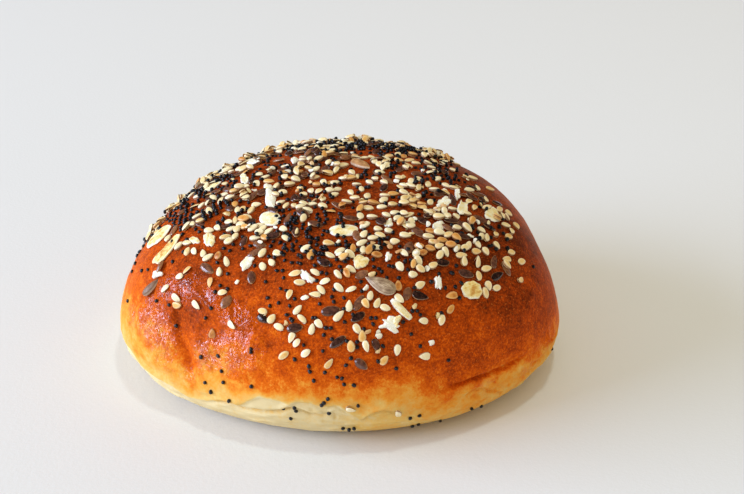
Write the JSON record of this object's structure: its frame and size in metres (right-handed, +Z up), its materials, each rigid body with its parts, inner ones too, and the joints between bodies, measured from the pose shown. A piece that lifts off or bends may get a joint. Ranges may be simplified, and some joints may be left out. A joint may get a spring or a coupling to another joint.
{
  "type": "seeded brioche bun",
  "caption": "Round domed brioche bun with a browned glossy crust, a pale soft heel and a flat base, its crown covered with mixed seeds and oat flakes.",
  "frame": {"origin": "on the flat base, under the middle of the bun's outline seen from above", "axes": "+Z up through the crown; the side shown in the picture faces -Y"},
  "size_m": [0.1202, 0.1194, 0.0519],
  "materials": {
    "crust": "satin",
    "sesame": "satin",
    "flax": "gloss",
    "poppy": "matte",
    "sunflower": "matte",
    "oat": "matte"
  },
  "bodies": {
    "root": {"bun": "crust"}
  },
  "joints": []
}
